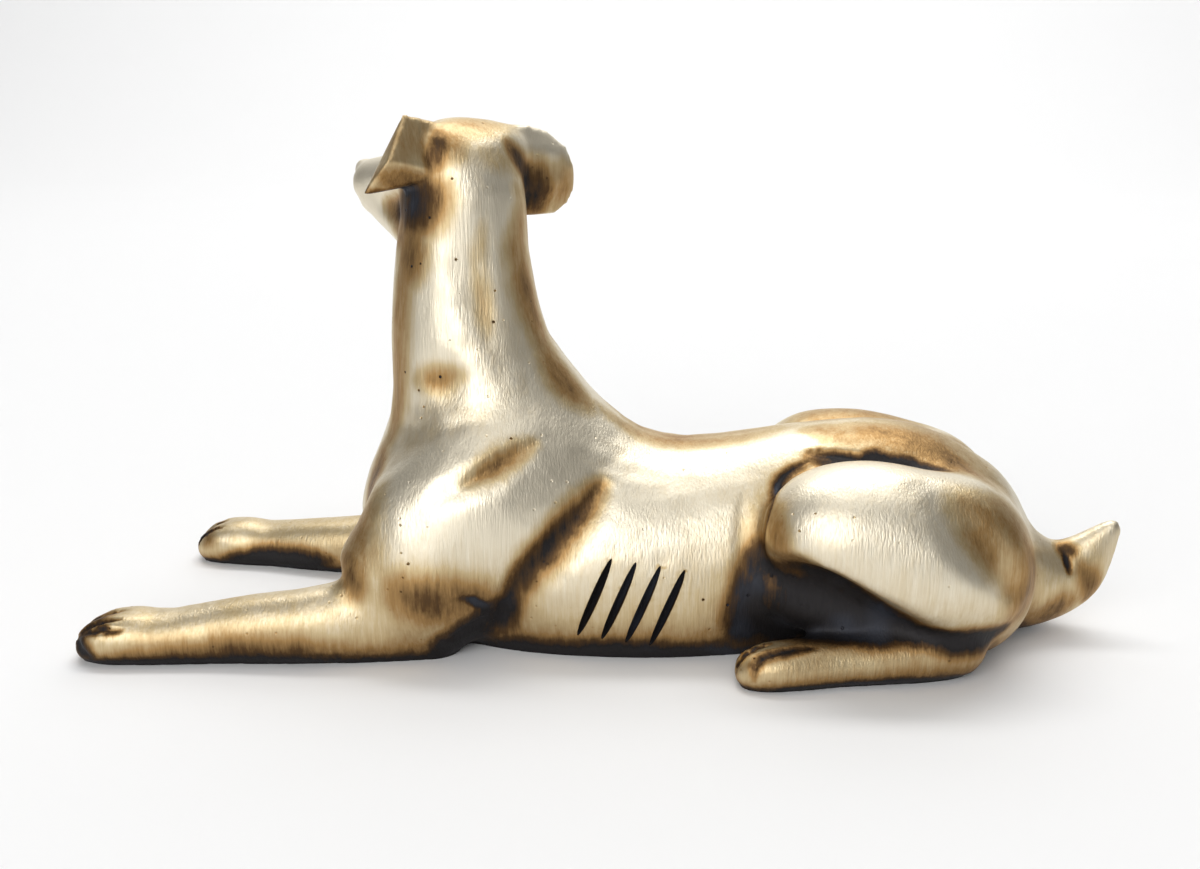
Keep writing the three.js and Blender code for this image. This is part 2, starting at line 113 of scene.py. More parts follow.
def points_of(piece):
    count = len(piece.data.vertices)
    flat = np.empty(count * 3, np.float64)
    piece.data.vertices.foreach_get("co", flat)
    return flat.reshape(count, 3)


def put_points(piece, points):
    piece.data.vertices.foreach_set("co", points.astype(np.float32).ravel())
    piece.data.update()


def normals_of(piece):
    count = len(piece.data.vertices)
    flat = np.empty(count * 3, np.float32)
    piece.data.vertex_normals.foreach_get("vector", flat)
    return flat.reshape(count, 3).astype(np.float64)


def edges_of(piece):
    count = len(piece.data.edges)
    flat = np.empty(count * 2, np.int32)
    piece.data.edges.foreach_get("vertices", flat)
    return flat.reshape(count, 2)


class Weave:
    """The links between neighbouring points of a mesh, to average over them."""

    def __init__(self, edges, count):
        self.count = count
        self.starts = np.concatenate([edges[:, 0], edges[:, 1]])
        self.ends = np.concatenate([edges[:, 1], edges[:, 0]])
        self.links = np.maximum(np.bincount(self.starts, minlength=count), 1)

    def average(self, values):
        columns = values.reshape(self.count, -1)
        sums = [np.bincount(self.starts, column[self.ends], self.count) for column in columns.T]
        return (np.stack(sums, axis=1) / self.links[:, None]).reshape(values.shape)


def smooth_step(low, high, values):
    share = np.clip((values - low) / (high - low), 0, 1)
    return share * share * (3 - 2 * share)


def curve_through(places, step):
    """Points about a step apart on a smooth curve through places, and each
    one's share of the way."""
    places = np.array([tuple(place) for place in places], float)
    padded = np.vstack([places[:1], places, places[-1:]])
    samples = []
    for k in range(len(places) - 1):
        before, start, end, after = padded[k : k + 4]
        count = max(int(np.linalg.norm(end - start) / step), 2)
        for t in np.arange(count) / count:
            slope_in, slope_out, rise = (end - before) / 2, (after - start) / 2, end - start
            samples.append(
                start
                + slope_in * t
                + (3 * rise - 2 * slope_in - slope_out) * t**2
                + (slope_in + slope_out - 2 * rise) * t**3
            )
    samples.append(places[-1])
    samples = np.array(samples)
    way = np.concatenate([[0], np.cumsum(np.linalg.norm(np.diff(samples, axis=0), axis=1))])
    return samples, way / max(way[-1], 1e-9)


# Step along a brush's way, and how many points are worked on at once.
BRUSH_STEP = 0.8 * MM
BATCH = 4000


def brush(points, tree, places, radius, end_share):
    """How strongly a soft brush drawn over the skin through places touches each
    point, from 0 to 1. The brush narrows and weakens to end_share at both ends."""
    samples, way = curve_through([spot(*place) for place in places], BRUSH_STEP)
    on_skin = []
    for sample in samples:
        hit = tree.find_nearest(Vector(sample))[0]
        on_skin.append(hit if hit is not None else sample)
    on_skin = np.array([tuple(place) for place in on_skin])
    touched = np.zeros(len(points))
    low, high = on_skin.min(axis=0) - radius, on_skin.max(axis=0) + radius
    near = np.flatnonzero(np.all((points > low) & (points < high), axis=1))
    fade = end_share + (1 - end_share) * np.sqrt(np.clip(np.sin(np.pi * way), 0, 1))
    widths = radius * fade
    for start in range(0, len(near), BATCH):
        some = near[start : start + BATCH]
        gaps = np.linalg.norm(points[some][:, None, :] - on_skin[None], axis=2)
        shares = gaps / np.maximum(widths, 1e-6)[None]
        touched[some] = (np.clip(1 - shares**2, 0, 1) ** 2 * fade[None]).max(axis=1)
    return touched


def mirrored(places):
    return [(x, -y, z) for x, y, z in places]


def skin_tree(piece):
    shape = bmesh.new()
    shape.from_mesh(piece.data)
    tree = BVHTree.FromBMesh(shape)
    shape.free()
    return tree


def length_setting(name, description, default, precision=4, **limits):
    return bpy.props.FloatProperty(
        name=name, description=description, default=default, precision=precision, unit="LENGTH", **limits
    )


def colour_setting(name, description, default):
    return bpy.props.FloatVectorProperty(
        name=name, description=description, default=default, subtype="COLOR", size=3, min=0, max=1
    )


class BodySettings(bpy.types.PropertyGroup):
    """Sizes of the evened casting."""

    grain: length_setting("Grain", "Spacing of points on the fine skin", 0.00088, 5, min=0.0005, max=0.004)
    evening: length_setting("Evening", "Width up to which unevenness is taken out of the skin", 0.0068)
    ear_evening: length_setting("Ear evening", "The same width on the sharp-edged left ear", 0.002)
    skirt: length_setting("Skirt", "Depth to which the underside is drawn down while it is evened", 0.007)
    triangles: bpy.props.IntProperty(
        name="Triangles",
        description="Triangles kept on the finished skin",
        default=192000,
        min=20000,
        max=199000,
    )


class SlitSettings(bpy.types.PropertyGroup):
    """Sizes of the filed slits between the ribs."""

    count: bpy.props.IntProperty(name="Count", description="Slits on each side", default=4, min=1, max=8)
    length: length_setting("Length", "Length of a slit", 0.0255)
    width: length_setting("Width", "Width across the mouth", 0.0026)
    depth: length_setting("Depth", "Depth in the middle", 0.0024)
    pitch: length_setting("Pitch", "Step from slit to slit", 0.0068)
    drop: length_setting("Drop", "How much lower each next slit sits", 0.001)
    lean: bpy.props.FloatProperty(
        name="Lean",
        description="Lean from upright",
        default=math.radians(22),
        subtype="ANGLE",
        unit="ROTATION",
    )


class FinishSettings(bpy.types.PropertyGroup):
    """Colours and depths of the brushed and patinated brass."""

    bright: colour_setting("Bright brass", "Freshly sanded metal", (0.82, 0.745, 0.59))
    # The gold, orange, brown and black also colour the painted shade laid on with the patina.
    gold: colour_setting("Worn gold", "Metal between the highlights", (0.61, 0.485, 0.285))
    orange: colour_setting("Orange gold", "Metal where the patina thins out", (0.40, 0.245, 0.10))
    brown: colour_setting("Brown patina", "Patina rubbed thin", (0.12, 0.068, 0.03))
    black: colour_setting("Black patina", "Patina left in the hollows", (0.014, 0.012, 0.013))
    slate: colour_setting("Slate patina", "Bluish patina in patches", (0.045, 0.055, 0.08))
    line_depth: length_setting("Line depth", "Depth of the sanding lines", 0.00006, 6)
    pit_depth: length_setting("Pit depth", "Depth of the casting pits", 0.0006, 5)


class StageSettings(bpy.types.PropertyGroup):
    """Floor, lights and camera."""

    floor_colour: colour_setting("Floor", "Colour of the pale floor", (0.86, 0.86, 0.86))
    surround: bpy.props.FloatProperty(
        name="Surround", description="Strength of the even light all round", default=0.2, min=0
    )
    key_power: bpy.props.FloatProperty(
        name="Key light", description="Power of the large front light", default=26.0, unit="POWER"
    )
    lens: bpy.props.FloatProperty(
        name="Lens", description="Focal length on a 36 mm wide frame", default=36.0, min=10, max=200
    )


# Corners of the solid nearer than this are one corner.
SAME_CORNER = 0.002 * MM

# Half the width round a coarse slit's line that is pressed shut.
SLIT_LINE = 0.05 * MM

# One round of evening: a share of the way in to the neighbours' average, and
# a little more back out, so that the form doesn't shrink.
EVENING_SHARES = (0.55, -0.57)


class HOUND_OT_cast_body(bpy.types.Operator):
    """Copies the cast solid and evens its facets into one fine skin"""

    bl_idname = "hound.cast_body"
    bl_label = "Cast Body"

    def execute(self, context):
        settings = context.scene.hound_body
        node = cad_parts["dog"]
        body = bpy.data.objects.new("brass_dog", node.data.copy())
        context.scene.collection.objects.link(body)
        body.data.materials.clear()
        take_up(body)
        bpy.ops.object.mode_set(mode="EDIT")
        bpy.ops.mesh.select_all(action="SELECT")
        bpy.ops.mesh.remove_doubles(threshold=SAME_CORNER)
        bpy.ops.mesh.select_all(action="DESELECT")
        bpy.ops.object.mode_set(mode="OBJECT")
        self.close_slits(context, body)
        BENCH["flank"] = skin_tree(body)
        self.draw_skirt(body, settings.skirt)
        apply_modifier(body, "REMESH", mode="VOXEL", voxel_size=settings.grain)
        self.even_skin(body, settings)
        self.cut_level(body)
        return {"FINISHED"}

    def close_slits(self, context, body):
        """Presses the coarse slits shut. They are filed again when the skin is fine."""
        slits = context.scene.hound_slits
        points = points_of(body)
        inside = np.zeros(len(points), bool)
        for side, number in slit_numbers(slits):
            inside |= in_slit(points, slits, side, number, SLIT_LINE)
        starts, ends = edges_of(body).T
        sums, links = np.zeros(len(points)), np.zeros(len(points))
        for one, other in ((starts, ends), (ends, starts)):
            on_rim = inside[one] & ~inside[other]
            sums += np.bincount(one[on_rim], points[other[on_rim], 1], len(points))
            links += np.bincount(one[on_rim], minlength=len(points))
        bottom = inside & (links > 0)
        points[bottom, 1] = sums[bottom] / links[bottom]
        put_points(body, points)

    def draw_skirt(self, body, depth):
        """Draws the flat underside downwards, so that its rim stays crisp."""
        bpy.ops.object.mode_set(mode="EDIT")
        bpy.ops.mesh.select_mode(type="FACE")
        bpy.ops.mesh.select_all(action="DESELECT")
        shape = bmesh.from_edit_mesh(body.data)
        for face in shape.faces:
            low = max(corner.co.z for corner in face.verts) < GROUND_GAP
            face.select_set(low and face.normal.z < -0.9)
        bmesh.update_edit_mesh(body.data)
        bpy.ops.mesh.extrude_region_move(TRANSFORM_OT_translate={"value": (0, 0, -depth)})
        bpy.ops.object.mode_set(mode="OBJECT")

    def even_skin(self, body, settings):
        """Takes out the facets and keeps every form wider than the evening."""
        points, edges = points_of(body), edges_of(body)
        weave = Weave(edges, len(points))
        spacing = np.linalg.norm(points[edges[:, 0]] - points[edges[:, 1]], axis=1).mean()
        widths = (settings.evening, settings.ear_evening)
        rounds, ear_rounds = (round((width / spacing) ** 2) for width in widths)
        free = 1 - ear_share(points)[:, None]
        for number in range(rounds):
            for share in EVENING_SHARES:
                shift = (weave.average(points) - points) * share
                points += shift if number < ear_rounds else shift * free
        put_points(body, points)

    def cut_level(self, body):
        """Cuts the skirt off level with the ground."""
        bpy.ops.object.mode_set(mode="EDIT")
        bpy.ops.mesh.select_all(action="SELECT")
        bpy.ops.mesh.bisect(plane_co=(0, 0, 0), plane_no=(0, 0, 1), use_fill=True, clear_inner=True)
        bpy.ops.object.mode_set(mode="OBJECT")


def ear_share(points):
    """1 on the sharp-edged left ear and 0 on the rest, with a soft edge. The
    limits are in drawing units."""
    skull = np.array(spot(*SKULL))
    offset = (points - skull) / UNIT
    ahead = offset @ np.array(AHEAD)
    to_side = offset @ np.array(TO_LEFT)
    on_head = smooth_step(-20, -15, offset[:, 2]) * (1 - smooth_step(10, 13, np.abs(ahead)))
    return smooth_step(14, 17.5, to_side) * on_head


def slit_numbers(slits):
    return [(side, number) for side in (-1, 1) for number in range(slits.count)]


def slit_middle(slits, number):
    """Middle of a slit in the upright plane of the statue's length."""
    middle = spot(-0.4, 0, 19.5)
    return middle.x + number * slits.pitch, middle.z - number * slits.drop


def slit_offsets(points, slits, number):
    """Offsets across and along a slit, seen from the side."""
    middle_x, middle_z = slit_middle(slits, number)
    dx, dz = points[:, 0] - middle_x, points[:, 2] - middle_z
    sine, cosine = math.sin(slits.lean), math.cos(slits.lean)
    return dx * cosine - dz * sine, dx * sine + dz * cosine


def in_slit(points, slits, side, number, reach):
    """Points of that side's flank within reach across a slit's line."""
    across, along = slit_offsets(points, slits, number)
    on_flank = points[:, 1] * side > FLANK_FROM
    return on_flank & (np.abs(across) < reach) & (np.abs(along) < slits.length / 2)


# Creases and folds on the left side, in drawing units, each with its radius
# and depth in millimetres. The right side has the same, mirrored.
FOLDS = [
    ([(-27, -34, 8), (-22, -35, 24), (-14, -33, 33), (-6, -29, 42), (1, -23, 50)], 6.0, 0.9),
    ([(-36, -36, 52), (-26, -32, 58), (-17, -26, 62)], 3.6, 0.7),
    ([(58, -15, 59), (62, -15.5, 59), (69, -16.5, 58.5), (78, -17.5, 57.5), (88, -18.5, 55.5)], 2.8, 1.1),
    ([(60, -15, 56), (55, -17, 54), (50, -20, 50), (48, -31, 47), (46, -33, 41), (46, -31, 33)], 1.6, 0.6),
    ([(41, -22, 50), (40, -27, 42), (40, -31, 31), (39, -31.5, 20)], 3.4, 0.4),
    ([(-39, -43, 21), (-34, -40, 20), (-29, -34, 14)], 2.6, 0.7),
    ([(-41, -39, 7), (-36, -37, 10), (-31, -35, 13)], 3.0, 0.8),
    ([(-32, -12, 126), (-33, -14, 112), (-33, -15, 100), (-32, -18, 86)], 6.0, 0.35),
    ([(44, -50, 4), (44, -49, 8), (46, -47, 9), (50, -46, 11), (56, -44, 11), (61, -43, 11)], 1.3, 0.7),
    ([(38, -45, 3), (38.5, -45, 6), (41, -44, 9), (45, -42, 11), (49, -41, 12)], 1.2, 0.7),
    ([(38, -40, 3), (38.5, -40, 6), (41, -39, 9), (45, -38, 11)], 1.2, 0.7),
    ([(134, -3, 27), (135, -5, 24), (136, -7, 20)], 1.8, 0.5),
]

# Marks on one side only: the crown pressed flatter, the outer edge of the left
# forepaw's toes, and the clefts between the toes of the left and right forepaw.
LONE_MARKS = [
    ([(-43, -10, 147), (-38, -2, 147.5), (-32, 6, 147)], 10.0, 0.8),
    ([(-147, -45, 6), (-143, -47.5, 9), (-138, -49, 11), (-131, -49.5, 11.5)], 1.7, 1.1),
    ([(-146, -48, 8), (-143.5, -50, 5), (-141, -51, 3)], 2.4, 0.9),
    ([(-147, -47.5, 3), (-146, -47, 7), (-143, -46.5, 10), (-138, -46.5, 12), (-132, -46, 13)], 1.3, 0.9),
    ([(-148, -43, 3), (-147, -43, 8), (-143, -42.5, 12), (-138, -42, 13.5), (-133, -41.5, 14)], 1.3, 0.9),
    ([(-147, -38, 3), (-146, -38, 8), (-142, -38, 11.5), (-137, -38, 13)], 1.3, 0.9),
    ([(-143, 28.5, 3), (-142, 28.5, 8), (-138, 28.5, 11.5), (-133, 28.5, 13)], 1.3, 0.9),
    ([(-144, 33, 3), (-143, 33, 8), (-139, 33, 12), (-134, 33, 13.5)], 1.3, 0.9),
    ([(-143, 37.5, 3), (-142, 37.5, 8), (-138, 37.5, 11), (-133, 37.5, 12.5)], 1.3, 0.9),
]

# The face, on both its sides, given on the head: eyelids and nostrils.
FACE = [
    ([(24.5, 11.5, 3.2), (22, 12, 6), (18, 12.5, 6.2), (15.5, 13, 4)], 0.9, 0.5),
    ([(24.5, 11.5, 2.4), (21, 12.5, 0.9), (17, 13, 1.4)], 0.9, 0.4),
    ([(63.5, 2.4, -3.5), (62.5, 3.8, -4)], 1.2, 0.9),
]


def all_marks():
    """Every carved mark on the statue, with its radius and depth."""
    marks = list(LONE_MARKS)
    for places, radius, sink in FOLDS:
        marks += [(places, radius, sink), (mirrored(places), radius, sink)]
    for places, radius, sink in FACE:
        for side in (1, -1):
            marks.append(([head_spot(ahead, side * out, up) for ahead, out, up in places], radius, sink))
    return marks


# Share of its width and depth that a carved mark keeps at its ends.
MARK_END = 0.25


class HOUND_OT_carve_relief(bpy.types.Operator):
    """Carves the creases, toes and face into the fine skin"""

    bl_idname = "hound.carve_relief"
    bl_label = "Carve Relief"

    def execute(self, context):
        body = bpy.data.objects["brass_dog"]
        points, normals, tree = points_of(body), normals_of(body), skin_tree(body)
        depth = np.zeros(len(points))
        for places, radius, sink in all_marks():
            depth = np.maximum(depth, sink * MM * brush(points, tree, places, radius * MM, MARK_END))
        depth[points[:, 2] < GROUND_GAP] = 0
        put_points(body, points - normals * depth[:, None])
        return {"FINISHED"}


# How much narrower the file's blade is at its deepest than at the mouth, and
# where beside the statue its place on the flank is looked for from.
BLADE_TAPER = 0.55
BESIDE = 0.2


class HOUND_OT_file_slits(bpy.types.Operator):
    """Files the slits between the ribs on both flanks"""

    bl_idname = "hound.file_slits"
    bl_label = "File Slits"

    def execute(self, context):
        slits = context.scene.hound_slits
        body = bpy.data.objects["brass_dog"]
        deselect_all()
        blades = [self.blade(slits, BENCH["flank"], side, number) for side, number in slit_numbers(slits)]
        for blade in blades:
            apply_modifier(body, "BOOLEAN", operation="DIFFERENCE", object=blade, solver="EXACT")
            bpy.data.objects.remove(blade)
        return {"FINISHED"}

    def blade(self, slits, tree, side, number):
        """A long lens that follows the flank, as deep as the slit."""
        bpy.ops.mesh.primitive_uv_sphere_add(segments=12, ring_count=24, radius=1, location=(0, 0, 0))
        blade = bpy.context.active_object
        blade.name = f"blade_{side}_{number}"
        points = points_of(blade)
        across, inward, along = points[:, 0].copy(), points[:, 1].copy(), points[:, 2].copy()
        narrow = 1 - BLADE_TAPER * np.clip(np.abs(inward), 0, 1)
        middle_x, middle_z = slit_middle(slits, number)
        sine, cosine = math.sin(slits.lean), math.cos(slits.lean)
        over = across * narrow * slits.width / 2
        down = along * slits.length / 2
        line_x, line_z = middle_x + down * sine, middle_z + down * cosine
        x, z = line_x + over * cosine, line_z - over * sine
        for k in range(len(points)):
            start = Vector((line_x[k], side * BESIDE, line_z[k]))
            hit = tree.ray_cast(start, Vector((0, -side, 0)))[0]
            if hit is None:
                raise RuntimeError("a slit misses the flank")
            points[k] = (x[k], hit.y + side * inward[k] * slits.depth, z[k])
        put_points(blade, points)
        bpy.ops.object.mode_set(mode="EDIT")
        bpy.ops.mesh.select_all(action="SELECT")
        bpy.ops.mesh.normals_make_consistent(inside=False)
        bpy.ops.object.mode_set(mode="OBJECT")
        return blade


class Socket:
    """A shader value that is worked out with ordinary Python operators."""

    def __init__(self, shader, output):
        self.shader = shader
        self.output = output

    def _math(self, operation, *values):
        return self.shader.node("ShaderNodeMath", {"operation": operation}, list(values))

    def __add__(self, other):
        return self._math("ADD", self, other)

    def __radd__(self, other):
        return self._math("ADD", other, self)

    def __sub__(self, other):
        return self._math("SUBTRACT", self, other)

    def __rsub__(self, other):
        return self._math("SUBTRACT", other, self)

    def __mul__(self, other):
        return self._math("MULTIPLY", self, other)

    def __rmul__(self, other):
        return self._math("MULTIPLY", other, self)

    def clamp(self):
        return self.shader.node("ShaderNodeClamp", {}, [self])

    def ramp(self, low, high):
        """0 below low, 1 above high and smooth between."""
        settings = {"interpolation_type": "SMOOTHSTEP"}
        return self.shader.node("ShaderNodeMapRange", settings, [self, low, high, 0, 1])


class Shader:
    """A material's nodes, added one call at a time."""

    def __init__(self, name):
        self.material = bpy.data.materials.new(name)
        self.material.use_nodes = True
        self.tree = self.material.node_tree
        self.principled = self.tree.nodes["Principled BSDF"]

    def node(self, kind, settings, values, output=0):
        node = self.tree.nodes.new(kind)
        for key, value in settings.items():
            if key == "stops":
                self._set_stops(node.color_ramp, value)
            else:
                setattr(node, key, value)
        pairs = values.items() if isinstance(values, dict) else enumerate(values)
        for key, value in pairs:
            if isinstance(value, Socket):
                self.tree.links.new(value.output, node.inputs[key])
            elif value is not None:
                node.inputs[key].default_value = value
        return Socket(self, node.outputs[output])

    def _set_stops(self, ramp, stops):
        while len(ramp.elements) < len(stops):
            ramp.elements.new(1)
        for element, (position, colour) in zip(ramp.elements, stops):
            element.position = position
            element.color = (*colour, 1)

    def attribute(self, name):
        return self.node("ShaderNodeAttribute", {"attribute_name": name}, {}, "Fac")

    def place(self):
        return self.node("ShaderNodeTexCoord", {}, {}, "Object")

    def scaled(self, vector, scale):
        return self.node("ShaderNodeVectorMath", {"operation": "MULTIPLY"}, [vector, scale])

    def noise(self, vector, scale, detail=3.0, roughness=0.5):
        values = {"Vector": vector, "Scale": scale, "Detail": detail, "Roughness": roughness}
        return self.node("ShaderNodeTexNoise", {}, values, "Fac")

    def mix(self, share, first, second):
        settings = {"data_type": "RGBA", "clamp_factor": True}
        values = {0: share, 6: self._full(first), 7: self._full(second)}
        return self.node("ShaderNodeMix", settings, values, 2)

    def _full(self, colour):
        return colour if isinstance(colour, Socket) else (*colour, 1)

    def feed(self, socket, value):
        if isinstance(value, Socket):
            self.tree.links.new(value.output, self.principled.inputs[socket])
        else:
            self.principled.inputs[socket].default_value = value


# Dark patches on the left side, partly patina and partly painted shade: painted shade along edges where the
# neck, nape, back and thigh turn away and along the ground; patina and painted shade in the recess under the
# thigh. Places in drawing units, radius in millimetres and strength. The right side has the same.
PATINA_AND_SHADE_PATCHES = [
    # Painted shade: the band down the front of the neck, where it turns away.
    ([(-57, -12, 116), (-58, -12, 100), (-59, -12, 84), (-61, -13, 68), (-64, -14, 56)], 8.0, 0.58),
    # Painted shade: the band down the nape, where the neck turns away.
    ([(-26, 3, 130), (-25, -5, 115), (-24, -6, 107), (-21, -6, 95), (-16, -7, 84), (-11, -10, 74)], 8, 0.52),
    ([(-33, -13, 121), (-34, -14, 110), (-33, -15, 100), (-32, -18, 89)], 4.0, 0.26),
    ([(-54, -18, 77), (-46, -19, 78), (-38, -21, 79)], 5.5, 0.4),
    ([(-62, -8, 76), (-60, -12, 84)], 7.0, 0.45),
    ([(-18, -8, 86), (-12, -9, 75), (-4, -8, 67)], 8.0, 0.6),
    ([(-56, -45, 27), (-49, -44, 22), (-42, -44, 21), (-35, -41, 21), (-30, -38, 20)], 11.0, 0.6),
    ([(-43, -40, 4), (-37, -37, 9), (-30, -35, 14), (-26, -34, 18)], 9.0, 0.85),
    ([(-70, -35, 31), (-67, -40, 26), (-65, -41, 22)], 8.0, 0.55),
    ([(-70, -28, 34), (-69, -20, 42), (-66, -12, 56)], 9.0, 0.6),
    ([(-27, -34, 8), (-25, -34, 14), (-22, -35, 24)], 6.0, 0.5),
    ([(-24, -35, 18), (-20, -35, 26), (-14, -33, 33), (-6, -29, 42), (1, -23, 50)], 8.0, 0.72),
    ([(-36, -36, 52), (-26, -32, 58), (-17, -26, 62)], 6.0, 0.48),
    # Painted shade: the back edge of the thigh, where it turns away.
    ([(95, -35, 52), (101, -36, 48), (103, -38, 42), (104, -38, 34)], 10.0, 0.5),
    # Painted shade: the top of the back and rump, where they turn away.
    ([(60, -6, 61), (78, -8, 61), (94, -10, 58), (103, -15, 53), (109, -21, 47)], 10.0, 0.56),
    ([(46, -30, 38), (55, -42, 36), (65, -40, 29), (78, -39, 22), (90, -42, 18)], 5.5, 0.5),
    # Painted shade: the top of the rump, where it turns away.
    ([(74, 0, 63), (90, -2, 60), (104, -8, 53), (113, -14, 43)], 15.0, 0.34),
    # Painted shade: the back edge of the thigh, where it turns away.
    ([(102, -34, 50), (110, -32, 42), (114, -30, 30), (112, -34, 20)], 14.0, 0.5),
    ([(-62, -30, 48), (-66, -36, 36), (-60, -40, 30)], 12.0, 0.42),
    # Patina and painted shade: the crease and recess under the thigh.
    ([(47, -31, 31), (56, -38, 32), (65, -40, 29), (70, -40, 25), (76, -40, 20), (84, -40, 17)], 8.5, 0.9),
    ([(86, -39, 16), (97, -39, 15), (107, -37, 14), (113, -35, 16)], 6.5, 0.9),
    ([(48, -34, 49), (49, -38, 42), (53, -42, 36)], 7.0, 0.48),
    ([(58, -15, 59), (69, -16.5, 58.5), (78, -17.5, 57.5), (90, -18.5, 55.5), (97, -18, 53)], 5.5, 1.0),
    ([(56, -4, 61), (64, -5, 62), (76, -8, 62)], 6.0, 0.4),
    ([(60, -15, 56), (55, -17, 54), (50, -20, 50), (48, -31, 47), (46, -33, 41), (46, -31, 33)], 3.4, 0.7),
    ([(37, -32, 12), (41, -31, 20), (43, -31, 28), (45, -31, 36)], 7.0, 0.75),
    # Painted shade: a band along the ground under the belly.
    ([(-28, -31, 2), (-10, -33, 2), (7, -33, 2), (29, -31, 2), (38, -29, 6)], 6.0, 0.5),
    # Patina and painted shade: the recess under the thigh.
    ([(42, -31, 16), (52, -28, 12), (65, -34, 14), (78, -36, 15), (92, -38, 14)], 8.0, 1.0),
    ([(44, -31, 30), (52, -33, 27), (62, -35, 22), (72, -37, 17), (84, -38, 14)], 11.0, 1.0),
    ([(40, -30, 8), (44, -30, 18), (47, -31, 28)], 8.0, 1.0),
    ([(44, -33, 24), (51, -35, 20), (58, -36, 16), (68, -37, 12)], 10.0, 1.0),
    ([(134, -3, 27), (136, -4, 26)], 4.0, 0.75),
    ([(139, -5, 23), (143, -5, 16), (142, -4, 11)], 5.0, 0.4),
    ([(128, -8, 10), (136, -6, 12)], 6.0, 0.35),
    # Painted shade: the top of the back from the withers, where it turns away.
    ([(-6, -6, 70), (6, -4, 62), (22, -3, 57), (39, -3, 58), (57, 0, 61)], 6.0, 0.38),
    # Painted shade: bands along the ground at the forefeet and the hind foot.
    ([(-140, -50, 2), (-124, -49, 2), (-104, -47, 2), (-86, -46, 2), (-70, -46, 2)], 4.6, 0.4),
    ([(-134, -51, 5), (-109, -48, 6), (-87, -47, 7), (-70, -45, 7)], 6.0, 0.3),
    ([(50, -49, 0), (70, -45, 0), (91, -42, 1)], 3.5, 0.4),
    ([(44, -50, 4), (44, -49, 8), (46, -47, 9), (50, -46, 11), (61, -43, 11)], 2.6, 0.7),
]

# Patches on one side only, given in the same way, partly patina and partly painted shade: under the jaw and
# the left ear, on the ears' lower faces, along the ground by the right forepaw and along the right side of
# the back.
LONE_PATINA_AND_SHADE_PATCHES = [
    ([(-147, -47, 8), (-144, -49.5, 6), (-141, -51, 3)], 4.5, 1.0),
    ([(-145, -44, 12), (-141, -43, 14), (-137, -42, 14)], 4.5, 0.6),
    # Painted shade: the lower face of the left ear, which turns down.
    ([head_spot(-5, 31, -1), head_spot(-3, 24, -2), head_spot(-2, 16, -3), head_spot(-1, 8, -3)], 7.0, 0.66),
    ([head_spot(-3, 8, 12), head_spot(-3, 16, 10), head_spot(-4, 22, 8), head_spot(-5, 28, 4)], 13.0, 0.36),
    # Painted shade: under the left ear, where it meets the neck.
    ([(-60, -6, 126), (-55, -10, 124), (-50, -13, 125), (-46, -13, 130)], 11.0, 1.0),
    ([(-53, -12, 121), (-55, -13, 112), (-56, -13, 102)], 9.0, 0.6),
    ([(-47, -10, 146), (-40, -4, 147), (-33, 4, 147), (-28, 9, 145)], 9.0, 0.34),
    # Painted shade: the underside of the left ear.
    ([head_spot(0, 33, -6), head_spot(2, 21, -6), head_spot(3, 9, -5.5)], 5.0, 1.0),
    # Painted shade: a band along the ground by the right forepaw.
    ([(-131, 24, 3), (-119, 24, 4), (-104, 21, 5), (-93, 20, 6)], 6.0, 0.85),
    ([(-138, 26, 7), (-136, 26, 10)], 4.0, 0.3),
    ([(-46, -7, 145), (-45, -10, 142), (-46, -12, 137), (-47, -12, 133)], 5.0, 0.8),
    ([(-44, -7, 145), (-42, -9, 141), (-42, -11, 138)], 7.0, 0.45),
    # Painted shade: under the jaw, towards the left ear.
    ([(-70, 25, 121), (-64, 18, 120), (-57, 2, 121), (-51, -12, 125), (-49, -12, 129)], 8.0, 0.85),
    ([(-67, 20, 116), (-57, -8, 115), (-54, -12, 109)], 7.0, 0.6),
    # Painted shade: the lower face of the right ear, which turns down.
    ([(-28, 1, 142), (-26, 2, 138), (-24, 6, 133), (-23, 8, 127), (-23, 9, 121)], 6.0, 1.0),
    ([(-23, 10, 133), (-22, 12, 127), (-22, 15, 121)], 10.5, 1.0),
    ([(-17, 16, 133), (-15, 20, 128), (-17, 21, 121)], 8.0, 0.55),
    ([(-37, -9, 140), (-29, -4, 137), (-24, 9, 129)], 6.0, 0.22),
    # Painted shade: the top of the back on the right side, where it turns away.
    ([(52, 22, 57), (62, 24, 61), (74, 25, 62), (86, 25, 60), (96, 24, 56)], 15.0, 0.46),
]


# Edges that turn less than this are shaded smooth.
SMOOTH_BELOW = math.radians(50)

# How much wider a patch is laid on than its radius, and its share at the ends.
PATCH_SPREAD = 1.25
PATCH_END = 0.3

# Marks narrower than this many millimetres are darkened, to this strength and
# this much wider than they are carved.
NARROW_MARK = 3
MARK_DARKNESS = 0.9
MARK_SPREAD = 1.3

# Depth under the flank at which a slit's wall is fully dark.
SLIT_SHADE = 0.35 * MM

# Where patina gathers in crevices and hollows: how far off the skin it is looked for and in how large a
# ball, in millimetres, then the ball's fullness where it begins and the rise to its full strength. The
# ground counts as full, so these also paint contact shade on the skin next to the ground.
GATHERING = {
    "cavity": (0.3, 2.2, 0.47, 0.25),
    "recess": (1.0, 7.0, 0.40, 0.35),
}

# The space round the statue, in cells that hold metal or ground or neither.
CELL = 1.5 * MM
ROOM_MARGIN = 24 * MM
ROOM_LOW = np.array(CAST_LOW) - ROOM_MARGIN
ROOM_COUNTS = np.ceil((np.array(CAST_HIGH) + ROOM_MARGIN - ROOM_LOW) / CELL).astype(int)

# A plumb line starts this far over the statue, and goes on this far past each
# crossing of its skin.
OVERHEAD = 10 * MM
PAST_SKIN = 0.02 * MM


